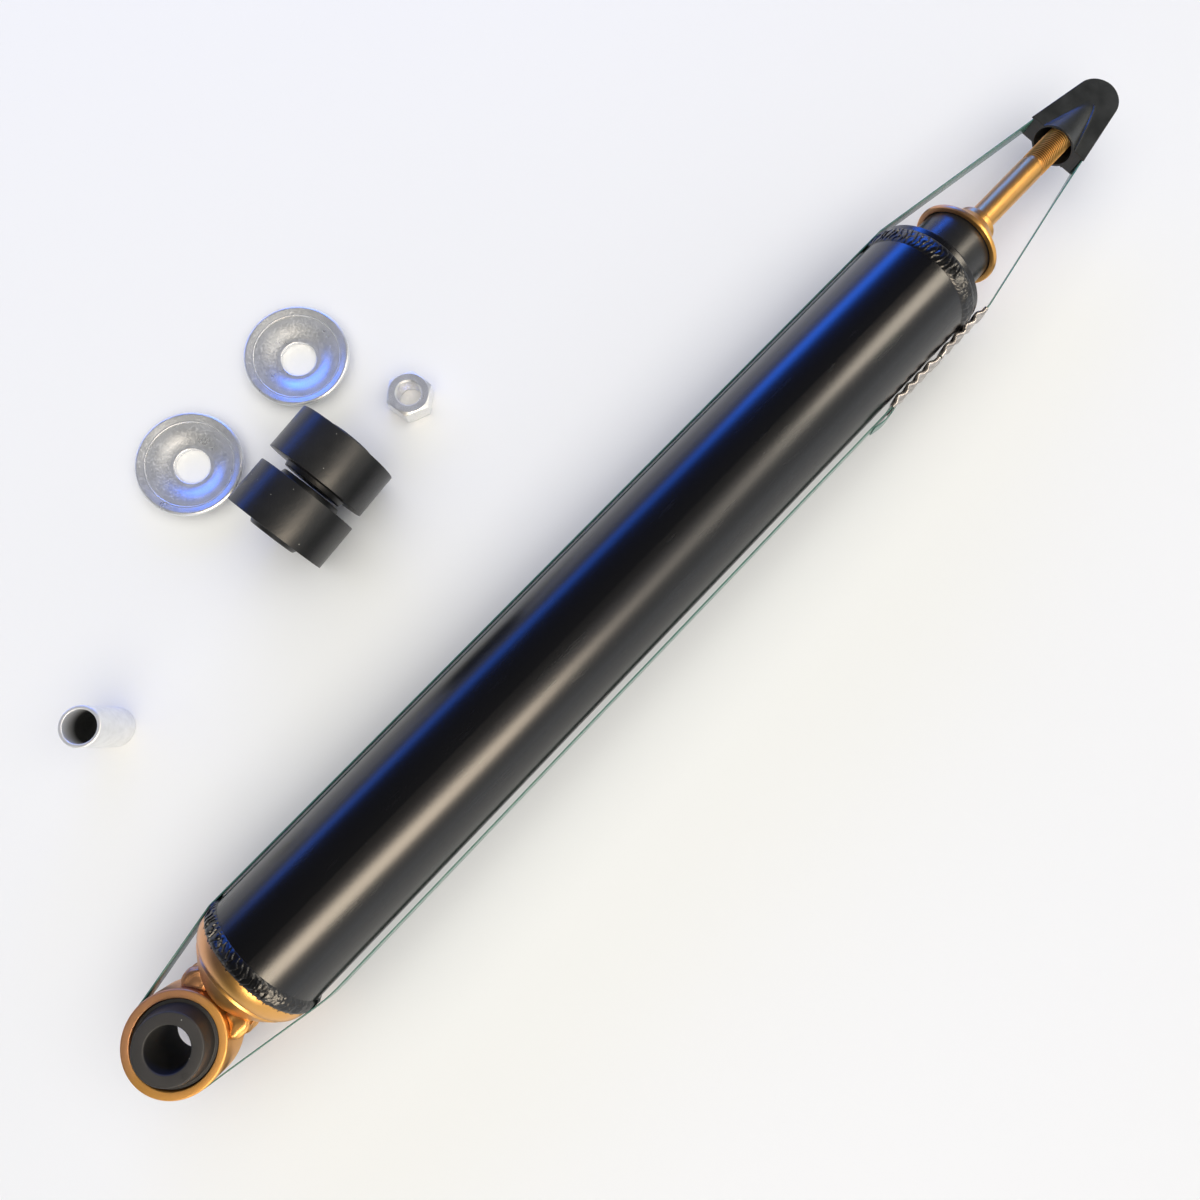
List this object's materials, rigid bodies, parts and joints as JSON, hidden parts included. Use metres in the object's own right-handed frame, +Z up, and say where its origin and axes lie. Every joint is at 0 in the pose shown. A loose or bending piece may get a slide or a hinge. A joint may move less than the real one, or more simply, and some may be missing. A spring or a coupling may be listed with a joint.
{
  "type": "shock absorber",
  "caption": "Twin-tube telescopic damper with a welded lower eye and a threaded upper stem, held closed by a strap, with its rubber bushes, cup washers, nut and sleeve.",
  "frame": {"origin": "centre of the lower eye's bore, midway along it", "axes": "+X along the damper from the eye to the stem, +Z up along the eye's bore, as the part lies on the floor"},
  "size_m": [0.6911, 0.2794, 0.065],
  "materials": {
    "black_paint": "glossy black paint",
    "gold_zinc": "zinc with a yellow passivated finish",
    "bright_zinc": "bright zinc",
    "rubber": "matt black rubber",
    "bump_rubber": "smooth black rubber",
    "cap_plastic": "moulded black plastic",
    "strap_green": "green polyester strap",
    "seal_steel": "crimped bare steel",
    "hard_chrome": "polished hard chrome",
    "plain_steel": "ground steel",
    "sintered_iron": "sintered iron",
    "bronze": "bronze-lined bush",
    "band_plastic": "filled fluoropolymer"
  },
  "bodies": {
    "tube": {"reserve_tube": "black_paint", "base_cup": "gold_zinc", "base_weld": "black_paint", "top_weld": "black_paint", "eye_ring": "gold_zinc", "eye_bush": "rubber", "eye_weld": "gold_zinc", "pressure_tube": "plain_steel", "base_valve_body": "sintered_iron", "base_valve_discs": "plain_steel", "base_valve_pin": "plain_steel", "base_check_spring": "plain_steel", "rod_guide": "sintered_iron", "guide_bush": "bronze", "rod_seal": "rubber", "top_cap": "black_paint", "strap": "strap_green", "strap_seal_1": "seal_steel", "strap_seal_2": "seal_steel", "cup_washer_1": "bright_zinc", "cup_washer_2": "bright_zinc", "stem_bush_1": "rubber", "stem_bush_2": "rubber", "stem_nut": "bright_zinc", "eye_sleeve": "bright_zinc"},
    "carriage": {"end_cap": "cap_plastic"},
    "rod": {"piston_rod": "hard_chrome", "piston": "sintered_iron", "piston_band": "band_plastic", "piston_discs": "plain_steel", "piston_nut": "plain_steel", "piston_check_spring": "plain_steel", "backing_washer": "plain_steel", "rebound_ring": "plain_steel", "rebound_pad": "rubber", "bump_stop": "bump_rubber", "upper_cup": "gold_zinc", "mount_stem": "gold_zinc"},
    "base_plate": {"base_check_plate": "plain_steel"},
    "piston_plate": {"piston_check_plate": "plain_steel"}
  },
  "joints": [
    {"name": "rod_slide", "type": "slide", "parent": "tube", "child": "carriage", "axis": [1, 0, 0], "range_m": [0, 0.33], "deforming": ["strap"]},
    {"name": "rod_spin", "type": "hinge", "parent": "carriage", "child": "rod", "pos_m": [0.6, 0, 0], "axis": [1, 0, 0], "continuous": true},
    {"name": "base_check_lift", "type": "slide", "parent": "tube", "child": "base_plate", "axis": [1, 0, 0], "range_m": [0, 0.001], "stiffness_N_per_m": 500, "springref_m": -0.001, "deforming": ["base_check_spring"]},
    {"name": "piston_check_lift", "type": "slide", "parent": "rod", "child": "piston_plate", "axis": [1, 0, 0], "range_m": [0, 0.001], "stiffness_N_per_m": 500, "springref_m": -0.001, "deforming": ["piston_check_spring"]}
  ]
}
